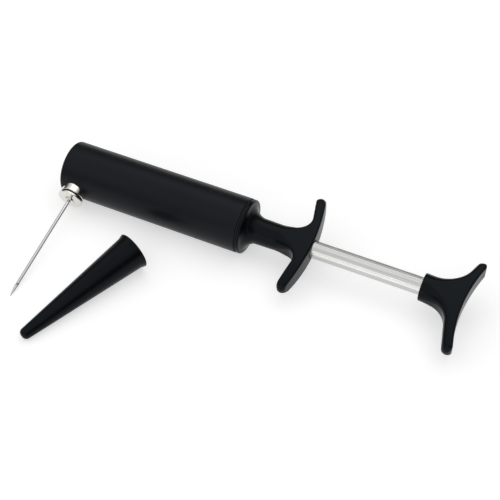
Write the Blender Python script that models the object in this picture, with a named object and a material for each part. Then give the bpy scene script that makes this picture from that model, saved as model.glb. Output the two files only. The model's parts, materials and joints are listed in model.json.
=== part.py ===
"""Air-pressure cork remover with a hand pump, lying on its side with its needle guard beside it.

The barrel's axis is world X, from the centre of its closed end towards the push handle.
The opener lies on its barrel and on the needle's point, so the plane of needle and wings is
rolled about X. An empty named opener carries that roll, and its pieces are placed in its axes:
X along the barrel, -Y along the needle, Z square to both. All sizes are in metres.
"""
import math

import bmesh
import bpy
from mathutils import Matrix, Vector

# Clearances and cutting
SEAT_GAP = 0.0003
CUT_OVERRUN = 0.0010
MERGE_DISTANCE = 0.000002

# Barrel
BARREL_RADIUS = 0.0165
BARREL_LENGTH = 0.1142
BARREL_WALL = 0.0015
BARREL_END_WALL = 0.0025
BARREL_EDGE = 0.0010
BARREL_SIDES = 48

# Needle
NEEDLE_FROM_END = 0.0090
NEEDLE_REACH = 0.09200
NEEDLE_RADIUS = 0.00108
NEEDLE_BORE_RADIUS = 0.00060
NEEDLE_SIDES = 16
POINT_LENGTH = 0.0073
POINT_END_RADIUS = 0.00010
POINT_PLUG_RADIUS = 0.00030
POINT_PLUG_LENGTH = 0.0015
POINT_STEPS = 5
VENT_FROM_POINT = 0.00805
VENT_RADIUS = 0.0007
VENT_SIDE = math.radians(40)

# Nipple, its fastening and the outlet valve
NIPPLE_RADIUS = 0.0076
NIPPLE_HEIGHT = 0.0027
NIPPLE_EDGE = 0.0003
SPIGOT_RADIUS = 0.0042
SPIGOT_DEPTH = 0.0085
SPIGOT_PROUD = 0.0010
CHAMBER_RADIUS = 0.0025
SEAT_WALL = 0.0010
SEAT_HOLE_RADIUS = 0.0010
WASHER_RADIUS = 0.0058
LOCK_NUT_RADIUS = 0.0062
LOCK_NUT_THICKNESS = 0.0027
LOCK_NUT_SIDES = 6
BALL_RADIUS = 0.0017
BALL_LIFT = 0.0008
SPRING_RADIUS = 0.00150
SPRING_WIRE_RADIUS = 0.00015
SPRING_TURNS = 3
SPRING_POINTS_PER_TURN = 10

# Needle carrier, the flanged screw that holds the needle, and its gasket
GASKET_RADIUS = 0.0068
GASKET_THICKNESS = 0.0004
FLANGE_RADIUS = 0.00775
FLANGE_THICKNESS = 0.0013
FLANGE_DOME = 0.0006
DOME_STEPS = 4
BOSS_RADIUS = 0.0030
BOSS_HEIGHT = 0.0008
SHANK_RADIUS = 0.0032
SHANK_LENGTH = 0.0042
SHANK_POCKET_RADIUS = 0.0024
SHANK_POCKET_DEPTH = 0.0020
COLLAR_LENGTH = 0.0017
TUBE_IN_COLLAR = 0.0011

# Cap seal and grip cap
CAP_SEAL_THICKNESS = 0.0004
CAP_SEAL_WIDTH = 0.0012
PLUG_LENGTH = 0.0125
CAP_FLANGE_INSET = 0.00015
CAP_FLANGE_LENGTH = 0.0020
CAP_FLANGE_EDGE = 0.0014
NECK_RADIUS = 0.00767
NECK_LENGTH = 0.0335
NECK_TAPER = 0.0060
NECK_END_RADIUS = 0.0067
SHOULDER_LENGTH = 0.0088
SHOULDER_STEPS = 7
GRIP_FACE = 0.0419
GRIP_FACE_RADIUS = 0.1100
GRIP_BACK = 0.0345
GRIP_FILLET = 0.0053
GRIP_ROOT = 0.0218
GRIP_ROOT_HALF = 0.0020
GRIP_TIP_SPAN = 0.0296
GRIP_TIP_RADIUS = 0.0029
GRIP_DEPTH = 0.0141
GRIP_TIP_DEPTH = 0.0066
GRIP_EDGE = 0.0022

# Rod bush and buffer ring inside the cap
BUSH_RADIUS = 0.0080
BUSH_LENGTH = 0.0062
BUFFER_RADIUS = 0.0100
BUFFER_THICKNESS = 0.0023

# Piston rod
ROD_RADIUS = 0.00522
ROD_FLUTES = 28
FLUTE_DEPTH = 0.00023
FLUTE_STEP_SHARES = (0.0, 0.50, 0.64, 0.86)
FLUTE_DEPTH_SHARES = (0.0, 0.0, 1.0, 1.0)

# Pump stroke, and the piston set on the rod's inner end
STROKE = 0.0645
PISTON_BODY_LENGTH = 0.0060
PISTON_RUNNING_GAP = 0.0004
ROD_SOCKET_DEPTH = 0.0038
CUP_BASE = 0.0020
CUP_BASE_RADIUS = 0.0135
CUP_LIP_LENGTH = 0.0040
CUP_LIP_THICKNESS = 0.0012
CUP_WASHER_RADIUS = 0.0090
CUP_WASHER_THICKNESS = 0.0012
SCREW_RADIUS = 0.0020
SCREW_IN_ROD = 0.0070
SCREW_HEAD_RADIUS = 0.0040
SCREW_HEAD_HEIGHT = 0.0025

# Push handle and the stud that holds it
SOCKET_RADIUS = 0.00765
SOCKET_LENGTH = 0.0102
SOCKET_EDGE = 0.0006
SOCKET_DEPTH = 0.0153
HUB_LENGTH = 0.0240
HUB_END_RADIUS = 0.0062
HANDLE_FACE = 0.0253
HANDLE_FACE_RADIUS = 0.1018
HANDLE_FAR_BACK = 0.0208
HANDLE_FAR_FILLET = 0.0143
HANDLE_FAR_SPAN = 0.0228
HANDLE_NEAR_BACK = 0.0203
HANDLE_NEAR_FILLET = 0.0119
HANDLE_NEAR_SPAN = 0.0285
HANDLE_ROOT = 0.0040
HANDLE_ROOT_HALF = 0.0030
HANDLE_TIP_RADIUS = 0.0027
HANDLE_DEPTH = 0.0134
HANDLE_TIP_DEPTH = 0.0080
HANDLE_EDGE = 0.0022
HANDLE_LEAN = math.radians(4.7)
HANDLE_LEAN_PIVOT = 0.0041
STUD_RADIUS = 0.0025
STUD_IN_ROD = 0.0070
STUD_IN_HANDLE = 0.0068

# Needle guard, lying on its side beside the opener
GUARD_LENGTH = 0.08035
GUARD_WALL = 0.0012
GUARD_END_WALL = 0.0020
GUARD_LIP_RADIUS = 0.01142
GUARD_MOUTH_RADIUS = 0.01042
GUARD_LIP_LENGTH = 0.0030
GUARD_END_RADIUS = 0.00347
GUARD_END_ROUND = 0.0030
GUARD_SIDES = 40
GUARD_MOUTH_X = 0.0621
GUARD_MOUTH_Y = -0.0394
GUARD_HEADING = math.radians(67.6)

# Steps and sides of round shapes
RING_SIDES = 32
INNER_SIDES = 24
ARC_STEPS = 6
TIP_STEPS = 8
TAPER_STEPS = 5
ROUND_STEPS = 3
EDGE_SEGMENTS = 2
SMOOTH_ANGLE = math.radians(32)
FULL_TURN = 2 * math.pi
RIGHT_ANGLE = math.pi / 2

# Places along the barrel's axis that follow from the sizes above
BORE_RADIUS = BARREL_RADIUS - BARREL_WALL
SEAL_X = BARREL_LENGTH + SEAT_GAP
CAP_X = SEAL_X + CAP_SEAL_THICKNESS + SEAT_GAP
PLUG_X = CAP_X - PLUG_LENGTH
GRIP_FACE_X = CAP_X + GRIP_FACE
BUFFER_X = PLUG_X - SEAT_GAP - BUFFER_THICKNESS
PISTON_REAR_X = BUFFER_X - SEAT_GAP
PISTON_X = PISTON_REAR_X - PISTON_BODY_LENGTH
CUP_BASE_X = PISTON_X - SEAT_GAP - CUP_BASE
CUP_WASHER_X = CUP_BASE_X - SEAT_GAP - CUP_WASHER_THICKNESS
SCREW_X = CUP_WASHER_X - SEAT_GAP - SCREW_HEAD_HEIGHT
ROD_X = PISTON_REAR_X - ROD_SOCKET_DEPTH + SEAT_GAP
HANDLE_X = GRIP_FACE_X + SEAT_GAP + STROKE
ROD_END_X = HANDLE_X + SOCKET_DEPTH - SEAT_GAP
ROD_LENGTH = ROD_END_X - ROD_X

# Distances from the barrel's axis along the needle that follow from the sizes above
SPIGOT_END = BARREL_RADIUS - SPIGOT_DEPTH
NIPPLE_TOP = BARREL_RADIUS + NIPPLE_HEIGHT
GASKET_BASE = NIPPLE_TOP + SEAT_GAP
FLANGE_BACK = GASKET_BASE + GASKET_THICKNESS + SEAT_GAP
FLANGE_RIM = FLANGE_BACK + FLANGE_THICKNESS
BOSS_BASE = FLANGE_RIM + FLANGE_DOME
BOSS_TOP = BOSS_BASE + BOSS_HEIGHT
SHANK_END = FLANGE_BACK - SHANK_LENGTH
SHANK_SEAT = SHANK_END - SEAT_GAP
CHAMBER_BASE = SPIGOT_END + SEAT_WALL
BALL_CENTRE = CHAMBER_BASE + math.sqrt(BALL_RADIUS ** 2 - SEAT_HOLE_RADIUS ** 2) + SEAT_GAP
SPRING_INNER_RADIUS = SPRING_RADIUS - SPRING_WIRE_RADIUS
SPRING_BASE = (BALL_CENTRE + BALL_LIFT + SEAT_GAP
               + math.sqrt(BALL_RADIUS ** 2 - SPRING_INNER_RADIUS ** 2))
LOCK_NUT_BASE = SPIGOT_END + SPIGOT_PROUD
WASHER_FLOOR = LOCK_NUT_BASE + LOCK_NUT_THICKNESS + SEAT_GAP
TUBE_START = SHANK_END + COLLAR_LENGTH - TUBE_IN_COLLAR
POINT_BASE = NEEDLE_REACH - POINT_LENGTH
TUBE_END = POINT_BASE - SEAT_GAP


def point_profile():
    """The needle point's outside as (distance from the barrel's axis, radius)."""
    shares = [step / POINT_STEPS for step in range(POINT_STEPS + 1)]
    drop = NEEDLE_RADIUS - POINT_END_RADIUS
    return [(POINT_BASE + POINT_LENGTH * share, NEEDLE_RADIUS - drop * share ** 2) for share in shares]


def table_roll(height):
    """The roll at which the needle point's lowest spot is a height below the barrel's axis."""
    return min(math.asin(height / math.hypot(distance, radius)) - math.atan2(radius, distance)
               for distance, radius in point_profile())


# The table, and the roll that brings the needle's point down to it
BARREL_REST = BARREL_RADIUS * math.cos(math.pi / BARREL_SIDES)
ROLL = table_roll(BARREL_REST)
FACET_DOWN = math.pi / BARREL_SIDES - ROLL


def clear_scene():
    """Remove whatever the scene holds."""
    for item in list(bpy.data.objects):
        bpy.data.objects.remove(item, do_unlink=True)


def material(name, colour, roughness, metallic=0.0):
    """A plain surface with one colour."""
    surface = bpy.data.materials.new(name)
    surface.use_nodes = True
    shader = surface.node_tree.nodes["Principled BSDF"]
    shader.inputs["Base Color"].default_value = (*colour, 1.0)
    shader.inputs["Roughness"].default_value = roughness
    shader.inputs["Metallic"].default_value = metallic
    return surface


def make_materials():
    """The surfaces of the opener, by name."""
    return {
        "barrel_black": material("barrel_black", (0.013, 0.014, 0.016), 0.38),
        "moulded_black": material("moulded_black", (0.010, 0.011, 0.012), 0.30),
        "rod_aluminium": material("rod_aluminium", (0.72, 0.72, 0.71), 0.32, 1.0),
        "bright_chrome": material("bright_chrome", (0.80, 0.79, 0.76), 0.08, 1.0),
        "needle_steel": material("needle_steel", (0.74, 0.75, 0.76), 0.14, 1.0),
        "inner_brass": material("inner_brass", (0.68, 0.52, 0.26), 0.35, 1.0),
        "inner_steel": material("inner_steel", (0.56, 0.57, 0.58), 0.32, 1.0),
        "seal_rubber": material("seal_rubber", (0.020, 0.020, 0.021), 0.75),
        "bush_plastic": material("bush_plastic", (0.72, 0.71, 0.67), 0.45),
    }


def new_empty(name, location, rotation):
    """A bare frame that pieces hang from."""
    empty = bpy.data.objects.new(name, None)
    empty.location = location
    empty.rotation_euler = rotation
    bpy.context.collection.objects.link(empty)
    return empty


def new_shape(name, bm, frame):
    """Turn a bmesh into an object under a frame, shaded smooth where it is round."""
    bmesh.ops.recalc_face_normals(bm, faces=bm.faces)
    mesh = bpy.data.meshes.new(name)
    bm.to_mesh(mesh)
    bm.free()
    mesh.shade_smooth()
    mesh.set_sharp_from_angle(angle=SMOOTH_ANGLE)
    shape = bpy.data.objects.new(name, mesh)
    bpy.context.collection.objects.link(shape)
    shape.parent = frame
    return shape


def new_piece(name, bm, surface, frame):
    """A shape that is a piece of the opener, with its surface."""
    piece = new_shape(name, bm, frame)
    piece.data.materials.append(surface)
    return piece


def along_barrel(shape, x):
    """Lay local Z on the barrel's axis, starting at x."""
    shape.location = (x, 0.0, 0.0)
    shape.rotation_euler = (0.0, RIGHT_ANGLE, 0.0)
    return shape


def along_needle(shape, distance):
    """Lay local Z on the needle's axis, starting at a distance from the barrel's axis."""
    shape.location = (NEEDLE_FROM_END, -distance, 0.0)
    shape.rotation_euler = (RIGHT_ANGLE, 0.0, 0.0)
    return shape


def turned(profile, sides, phase=0.0, closed=False):
    """Spin a profile of (height, radius) pairs about local Z. Open profiles get flat ends."""
    bm = bmesh.new()
    start = Matrix.Rotation(phase, 4, "Z")
    verts = [bm.verts.new(start @ Vector((radius, 0.0, height))) for height, radius in profile]
    edges = [bm.edges.new(pair) for pair in zip(verts, verts[1:])]
    if closed:
        edges.append(bm.edges.new((verts[-1], verts[0])))
    bmesh.ops.spin(bm, geom=verts + edges, axis=(0.0, 0.0, 1.0), angle=FULL_TURN, steps=sides,
                   use_merge=True)
    if not closed:
        bmesh.ops.holes_fill(bm, edges=[edge for edge in bm.edges if edge.is_boundary], sides=0)
    return bm


def rod_shape(low, high, radius, sides, phase=0.0):
    """A plain round bar along local Z."""
    return turned([(low, radius), (high, radius)], sides, phase)


def ring_shape(height, inner, outer, sides, phase=0.0):
    """A plain ring that stands on local zero."""
    profile = [(0.0, outer), (height, outer), (height, inner), (0.0, inner)]
    return turned(profile, sides, phase, closed=True)


def prism(outline, low, high, edge=0.0):
    """Extrude an outline in local XY from low to high, and round its rims by edge."""
    bm = bmesh.new()
    face = bm.faces.new([bm.verts.new((x, y, low)) for x, y in outline])
    grown = bmesh.ops.extrude_face_region(bm, geom=[face], use_keep_orig=True)["geom"]
    bmesh.ops.translate(bm, verts=[item for item in grown if isinstance(item, bmesh.types.BMVert)],
                        vec=(0.0, 0.0, high - low))
    if edge:
        rims = [rim for rim in bm.edges if rim.verts[0].co.z == rim.verts[1].co.z]
        bmesh.ops.bevel(bm, geom=rims, offset=edge, segments=EDGE_SEGMENTS, profile=0.5,
                        affect="EDGES", clamp_overlap=True)
    return bm


def arc(centre_x, centre_y, radius, start, stop, steps):
    """Points on an arc, both ends included."""
    angles = [start + (stop - start) * step / steps for step in range(steps + 1)]
    return [(centre_x + radius * math.cos(a), centre_y + radius * math.sin(a)) for a in angles]


def combine(piece, other, operation):
    """Let another shape act on a piece, and keep that shape out of the model."""
    other.hide_render = True
    other.display_type = "WIRE"
    boolean = piece.modifiers.new(other.name, "BOOLEAN")
    boolean.operation = operation
    boolean.object = other
    boolean.solver = "EXACT"


def cut(piece, cutter):
    """Take the cutter's shape out of the piece."""
    combine(piece, cutter, "DIFFERENCE")


def fuse(piece, other):
    """Make the piece and the other shape one body."""
    combine(piece, other, "UNION")


def keep_inside(piece, other):
    """Keep only what lies inside the other shape."""
    combine(piece, other, "INTERSECT")


def fluted_outline(clearance):
    """The rod's grooved section, grown by a clearance."""
    pitch = FULL_TURN / ROD_FLUTES
    points = []
    for flute in range(ROD_FLUTES):
        for step_share, depth_share in zip(FLUTE_STEP_SHARES, FLUTE_DEPTH_SHARES):
            angle = pitch * (flute + step_share)
            radius = ROD_RADIUS + clearance - FLUTE_DEPTH * depth_share
            points.append((radius * math.cos(angle), radius * math.sin(angle)))
    return points


def wing_outline(root, waist, face, face_radius, bulge, tip_radius, far, near):
    """Outline of a pair of wings, with X along the axis and the far wing on its +Y side.

    Each wing is given by its back, its fillet and how far out its tip is. Its back runs from the
    root over the waist and the fillet to the tip. The face is one arc over both wings, which
    stands out in the middle where bulge is 1 and is hollow where it is -1.
    """
    centre = face - bulge * face_radius
    halves = []
    face_angles = []
    for back, fillet, tip_span in (far, near):
        tip = centre + bulge * math.sqrt((face_radius - bulge * tip_radius) ** 2 - tip_span ** 2)
        face_angle = bulge * math.atan2(tip_span, bulge * (tip - centre))
        fillet_y = waist + fillet
        reach = math.hypot(fillet_y - tip_span, back - tip)
        back_angle = math.atan2(fillet_y - tip_span, back - tip) - math.acos(tip_radius / reach)
        half = [root] + arc(back - fillet, fillet_y, fillet, -RIGHT_ANGLE, 0.0, ARC_STEPS)
        half += arc(tip, tip_span, tip_radius, back_angle + FULL_TURN, face_angle, TIP_STEPS)
        halves.append(half)
        face_angles.append(face_angle)
    across = arc(centre, 0.0, bulge * face_radius, face_angles[0], -face_angles[1], 2 * ARC_STEPS)
    return halves[0] + across[1:-1] + [(x, -y) for x, y in reversed(halves[1])]


def wing_pair(outline, depth, tip_depth, edge):
    """Wings as a prism that is deep in the middle and thins in a curve towards its tips."""
    bm = prism(outline, -depth / 2, depth / 2, edge)
    span = max(abs(y) for x, y in outline)
    for step in range(1 - TAPER_STEPS, TAPER_STEPS):
        across = span * math.sin(RIGHT_ANGLE * step / TAPER_STEPS)
        bmesh.ops.bisect_plane(bm, geom=bm.verts[:] + bm.edges[:] + bm.faces[:],
                               dist=MERGE_DISTANCE, plane_co=(0.0, across, 0.0),
                               plane_no=(0.0, 1.0, 0.0))
    for vert in bm.verts:
        level = math.sqrt(1 - min(1.0, abs(vert.co.y) / span) ** 2)
        vert.co.z *= (tip_depth + (depth - tip_depth) * level) / depth
    return bm


def make_barrel(opener, surfaces):
    """The pump barrel: a tube with one closed end and a port for the nipple's spigot."""
    profile = arc(BARREL_EDGE, BARREL_RADIUS - BARREL_EDGE, BARREL_EDGE, math.pi, RIGHT_ANGLE,
                  ROUND_STEPS)
    profile += [(BARREL_LENGTH, BARREL_RADIUS), (BARREL_LENGTH, BORE_RADIUS),
                (BARREL_END_WALL, BORE_RADIUS)]
    barrel = new_piece("barrel", turned(profile, BARREL_SIDES, FACET_DOWN),
                       surfaces["barrel_black"], opener)
    along_barrel(barrel, 0.0)
    port = rod_shape(SPIGOT_END, NIPPLE_TOP, SPIGOT_RADIUS + SEAT_GAP, INNER_SIDES)
    cut(barrel, along_needle(new_shape("cut_port", port, opener), 0.0))


def barrel_core(name, radius, opener):
    """A bar along the barrel's closed end, which shapes what sits on or in the barrel."""
    core = rod_shape(-CUT_OVERRUN, NEEDLE_FROM_END + NIPPLE_RADIUS + CUT_OVERRUN, radius,
                     BARREL_SIDES, FACET_DOWN)
    return along_barrel(new_shape(name, core, opener), 0.0)


def make_nipple(opener, surfaces):
    """The chrome nipple: a collar that sits on the barrel, and a spigot that goes inside."""
    collar = [(SPIGOT_END, NIPPLE_RADIUS), (NIPPLE_TOP - NIPPLE_EDGE, NIPPLE_RADIUS),
              (NIPPLE_TOP, NIPPLE_RADIUS - NIPPLE_EDGE)]
    nipple = new_piece("nipple", turned(collar, RING_SIDES), surfaces["bright_chrome"], opener)
    along_needle(nipple, 0.0)
    spigot = rod_shape(SPIGOT_END, BARREL_RADIUS + NIPPLE_HEIGHT / 2, SPIGOT_RADIUS, INNER_SIDES)
    counterbore = SHANK_RADIUS + SEAT_GAP
    hollow = [(SPIGOT_END - CUT_OVERRUN, SEAT_HOLE_RADIUS), (CHAMBER_BASE, SEAT_HOLE_RADIUS),
              (CHAMBER_BASE, CHAMBER_RADIUS), (SHANK_SEAT, CHAMBER_RADIUS),
              (SHANK_SEAT, counterbore), (NIPPLE_TOP + CUT_OVERRUN, counterbore)]
    cut(nipple, barrel_core("cut_nipple_saddle", BARREL_RADIUS + SEAT_GAP, opener))
    fuse(nipple, along_needle(new_shape("join_spigot", spigot, opener), 0.0))
    cut(nipple, along_needle(new_shape("cut_chamber", turned(hollow, INNER_SIDES), opener), 0.0))


def make_nipple_washer(opener, surfaces):
    """The washer inside the barrel, flat towards the nut and round towards the wall."""
    height = BORE_RADIUS - WASHER_FLOOR
    washer = new_piece("nipple_washer",
                       ring_shape(height, SPIGOT_RADIUS + SEAT_GAP, WASHER_RADIUS, INNER_SIDES),
                       surfaces["inner_steel"], opener)
    along_needle(washer, WASHER_FLOOR)
    keep_inside(washer, barrel_core("keep_in_bore", BORE_RADIUS - SEAT_GAP, opener))


def make_lock_nut(opener, surfaces):
    """The hexagon nut that draws the nipple against the barrel from inside."""
    nut = new_piece("nipple_lock_nut",
                    rod_shape(0.0, LOCK_NUT_THICKNESS, LOCK_NUT_RADIUS, LOCK_NUT_SIDES),
                    surfaces["inner_brass"], opener)
    along_needle(nut, LOCK_NUT_BASE)
    bore = rod_shape(-CUT_OVERRUN, LOCK_NUT_THICKNESS + CUT_OVERRUN, SPIGOT_RADIUS + SEAT_GAP,
                     INNER_SIDES)
    cut(nut, along_needle(new_shape("cut_nut_bore", bore, opener), LOCK_NUT_BASE))


def make_valve_ball(opener, surfaces):
    """The ball that closes the outlet when the pump draws air."""
    bm = bmesh.new()
    bmesh.ops.create_uvsphere(bm, u_segments=RING_SIDES // 2, v_segments=RING_SIDES // 4,
                              radius=BALL_RADIUS)
    ball = new_piece("valve_ball", bm, surfaces["inner_steel"], opener)
    along_needle(ball, BALL_CENTRE)


def make_valve_spring(opener, surfaces):
    """The coil spring behind the ball, drawn as long as it is with the ball lifted."""
    low = SPRING_BASE + SPRING_WIRE_RADIUS
    high = SHANK_SEAT - SPRING_WIRE_RADIUS
    last = SPRING_TURNS * SPRING_POINTS_PER_TURN
    curve = bpy.data.curves.new("valve_spring", "CURVE")
    curve.dimensions = "3D"
    curve.bevel_depth = SPRING_WIRE_RADIUS
    curve.bevel_resolution = 1
    curve.use_fill_caps = True
    coil = curve.splines.new("POLY")
    coil.points.add(last)
    for step, point in enumerate(coil.points):
        angle = FULL_TURN * step / SPRING_POINTS_PER_TURN
        height = (high - low) * step / last
        point.co = (SPRING_RADIUS * math.cos(angle), SPRING_RADIUS * math.sin(angle), height, 1.0)
    curve.materials.append(surfaces["inner_steel"])
    spring = bpy.data.objects.new("valve_spring", curve)
    bpy.context.collection.objects.link(spring)
    spring.parent = opener
    along_needle(spring, low)


def make_gasket(opener, surfaces):
    """The flat gasket between nipple and needle carrier."""
    gasket = new_piece("needle_gasket",
                       ring_shape(GASKET_THICKNESS, SHANK_RADIUS + SEAT_GAP, GASKET_RADIUS,
                                  RING_SIDES),
                       surfaces["seal_rubber"], opener)
    along_needle(gasket, GASKET_BASE)


def make_needle_carrier(opener, surfaces):
    """The domed flange with a shank that goes into the nipple and a boss round the needle."""
    bore = NEEDLE_RADIUS + SEAT_GAP
    pocket_floor = SHANK_END + SHANK_POCKET_DEPTH
    profile = [(SHANK_END, SHANK_POCKET_RADIUS), (SHANK_END, SHANK_RADIUS),
               (FLANGE_BACK, SHANK_RADIUS), (FLANGE_BACK, FLANGE_RADIUS)]
    for step in range(DOME_STEPS + 1):
        outward = 1 - step / DOME_STEPS
        profile.append((FLANGE_RIM + FLANGE_DOME * (1 - outward ** 2),
                        BOSS_RADIUS + (FLANGE_RADIUS - BOSS_RADIUS) * outward))
    profile += [(BOSS_TOP, BOSS_RADIUS), (BOSS_TOP, bore), (pocket_floor, bore),
                (pocket_floor, SHANK_POCKET_RADIUS)]
    carrier = new_piece("needle_carrier", turned(profile, RING_SIDES, closed=True),
                        surfaces["bright_chrome"], opener)
    along_needle(carrier, 0.0)


def make_needle_collar(opener, surfaces):
    """The collar soldered round the needle, trapped in the carrier's shank."""
    collar = new_piece("needle_collar",
                       ring_shape(COLLAR_LENGTH, NEEDLE_RADIUS + SEAT_GAP,
                                  SHANK_POCKET_RADIUS - SEAT_GAP, NEEDLE_SIDES),
                       surfaces["inner_brass"], opener)
    along_needle(collar, SHANK_END)


def make_needle_tube(opener, surfaces):
    """The hollow needle, with an air vent filed into its side just behind the point."""
    tube = new_piece("needle_tube",
                     ring_shape(TUBE_END - TUBE_START, NEEDLE_BORE_RADIUS, NEEDLE_RADIUS,
                                NEEDLE_SIDES),
                     surfaces["needle_steel"], opener)
    along_needle(tube, TUBE_START)
    vent = new_shape("cut_vent",
                     rod_shape(0.0, NEEDLE_RADIUS + CUT_OVERRUN, VENT_RADIUS, NEEDLE_SIDES), opener)
    vent.location = (NEEDLE_FROM_END, VENT_FROM_POINT - NEEDLE_REACH, 0.0)
    vent.rotation_euler = (0.0, VENT_SIDE, 0.0)
    cut(tube, vent)


def make_needle_point(opener, surfaces):
    """The solid point, with a plug that goes into the tube's bore."""
    plug = [(POINT_BASE - POINT_PLUG_LENGTH, POINT_PLUG_RADIUS), (POINT_BASE, POINT_PLUG_RADIUS)]
    point = new_piece("needle_point", turned(plug + point_profile(), NEEDLE_SIDES),
                      surfaces["needle_steel"], opener)
    along_needle(point, 0.0)


def make_cap_seal(opener, surfaces):
    """The ring between the barrel's rim and the cap."""
    seal = new_piece("cap_seal",
                     ring_shape(CAP_SEAL_THICKNESS, BORE_RADIUS, BORE_RADIUS + CAP_SEAL_WIDTH,
                                BARREL_SIDES, FACET_DOWN),
                     surfaces["seal_rubber"], opener)
    along_barrel(seal, SEAL_X)


def rod_hole(name, opener):
    """The grooved way for the rod through the cap and its bush."""
    hole = prism(fluted_outline(SEAT_GAP), PLUG_X - CUT_OVERRUN, GRIP_FACE_X + CUT_OVERRUN)
    return along_barrel(new_shape(name, hole, opener), 0.0)


def make_grip_cap(opener, surfaces):
    """The cap that closes the barrel, with a neck and two finger wings."""
    plug_radius = BORE_RADIUS - SEAT_GAP
    flange_radius = BARREL_RADIUS - CAP_FLANGE_INSET
    shoulder_radius = flange_radius - CAP_FLANGE_EDGE
    drop = shoulder_radius - NECK_RADIUS
    profile = [(-PLUG_LENGTH, plug_radius), (0.0, plug_radius), (0.0, flange_radius)]
    profile += arc(CAP_FLANGE_LENGTH - CAP_FLANGE_EDGE, shoulder_radius, CAP_FLANGE_EDGE,
                   RIGHT_ANGLE, 0.0, ROUND_STEPS)
    for step in range(1, SHOULDER_STEPS + 1):
        angle = RIGHT_ANGLE * step / SHOULDER_STEPS
        profile.append((CAP_FLANGE_LENGTH + SHOULDER_LENGTH * (1 - math.cos(angle)),
                        shoulder_radius - drop * math.sin(angle)))
    profile += [(NECK_LENGTH, NECK_RADIUS), (NECK_LENGTH + NECK_TAPER, NECK_END_RADIUS)]
    cap = new_piece("grip_cap", turned(profile, BARREL_SIDES, FACET_DOWN),
                    surfaces["moulded_black"], opener)
    along_barrel(cap, CAP_X)
    wing = (GRIP_BACK, GRIP_FILLET, GRIP_TIP_SPAN)
    outline = wing_outline((GRIP_ROOT, GRIP_ROOT_HALF), NECK_RADIUS, GRIP_FACE, GRIP_FACE_RADIUS, 1,
                           GRIP_TIP_RADIUS, wing, wing)
    wings = new_shape("join_grip_wings",
                      wing_pair(outline, GRIP_DEPTH, GRIP_TIP_DEPTH, GRIP_EDGE), opener)
    wings.location.x = CAP_X
    bush_pocket = rod_shape(-CUT_OVERRUN, BUSH_LENGTH + SEAT_GAP, BUSH_RADIUS + SEAT_GAP, INNER_SIDES)
    fuse(cap, wings)
    cut(cap, rod_hole("cut_rod_way", opener))
    cut(cap, along_barrel(new_shape("cut_bush_pocket", bush_pocket, opener), PLUG_X))


def make_rod_bush(opener, surfaces):
    """The bush that guides the rod, grooved to match it."""
    bush = new_piece("rod_bush", rod_shape(0.0, BUSH_LENGTH, BUSH_RADIUS, INNER_SIDES),
                     surfaces["bush_plastic"], opener)
    along_barrel(bush, PLUG_X)
    cut(bush, rod_hole("cut_bush_way", opener))


def make_buffer_ring(opener, surfaces):
    """The soft ring that the piston meets at the end of the pull."""
    ring = new_piece("buffer_ring",
                     ring_shape(BUFFER_THICKNESS, ROD_RADIUS + SEAT_GAP, BUFFER_RADIUS, INNER_SIDES),
                     surfaces["seal_rubber"], opener)
    along_barrel(ring, BUFFER_X)


def make_piston_rod(opener, surfaces):
    """The grooved rod, bored at both ends for the piston screw and the handle stud."""
    rod = new_piece("piston_rod", prism(fluted_outline(0.0), 0.0, ROD_LENGTH),
                    surfaces["rod_aluminium"], opener)
    along_barrel(rod, ROD_X)
    front = rod_shape(-CUT_OVERRUN, SCREW_IN_ROD + SEAT_GAP, SCREW_RADIUS + SEAT_GAP, INNER_SIDES)
    rear = rod_shape(-STUD_IN_ROD - SEAT_GAP, CUT_OVERRUN, STUD_RADIUS + SEAT_GAP, INNER_SIDES)
    cut(rod, along_barrel(new_shape("cut_screw_hole", front, opener), ROD_X))
    cut(rod, along_barrel(new_shape("cut_stud_hole", rear, opener), ROD_END_X))


def make_piston_body(opener, surfaces):
    """The piston's stiff disc, with a socket for the rod."""
    socket = ROD_RADIUS + SEAT_GAP
    hole = SCREW_RADIUS + SEAT_GAP
    outer = BORE_RADIUS - PISTON_RUNNING_GAP
    socket_floor = PISTON_BODY_LENGTH - ROD_SOCKET_DEPTH
    profile = [(0.0, hole), (0.0, outer), (PISTON_BODY_LENGTH, outer), (PISTON_BODY_LENGTH, socket),
               (socket_floor, socket), (socket_floor, hole)]
    body = new_piece("piston_body", turned(profile, RING_SIDES, closed=True),
                     surfaces["bush_plastic"], opener)
    along_barrel(body, PISTON_X)


def make_piston_cup(opener, surfaces):
    """The rubber cup whose lip seals on the push and lets air past on the pull."""
    hole = SCREW_RADIUS + SEAT_GAP
    lip = BORE_RADIUS - SEAT_GAP
    profile = [(0.0, hole), (0.0, CUP_BASE_RADIUS - CUP_LIP_THICKNESS),
               (-CUP_LIP_LENGTH, lip - CUP_LIP_THICKNESS), (-CUP_LIP_LENGTH, lip),
               (CUP_BASE, CUP_BASE_RADIUS), (CUP_BASE, hole)]
    cup = new_piece("piston_cup", turned(profile, RING_SIDES, closed=True),
                    surfaces["seal_rubber"], opener)
    along_barrel(cup, CUP_BASE_X)


def make_cup_washer(opener, surfaces):
    """The washer that holds the cup against the piston."""
    washer = new_piece("cup_washer",
                       ring_shape(CUP_WASHER_THICKNESS, SCREW_RADIUS + SEAT_GAP, CUP_WASHER_RADIUS,
                                  INNER_SIDES),
                       surfaces["inner_steel"], opener)
    along_barrel(washer, CUP_WASHER_X)


def make_piston_screw(opener, surfaces):
    """The screw that holds washer, cup and piston on the rod."""
    end = ROD_X + SCREW_IN_ROD - SCREW_X
    profile = [(0.0, SCREW_HEAD_RADIUS), (SCREW_HEAD_HEIGHT, SCREW_HEAD_RADIUS),
               (SCREW_HEAD_HEIGHT, SCREW_RADIUS), (end, SCREW_RADIUS)]
    screw = new_piece("piston_screw", turned(profile, INNER_SIDES), surfaces["inner_steel"], opener)
    along_barrel(screw, SCREW_X)


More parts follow.
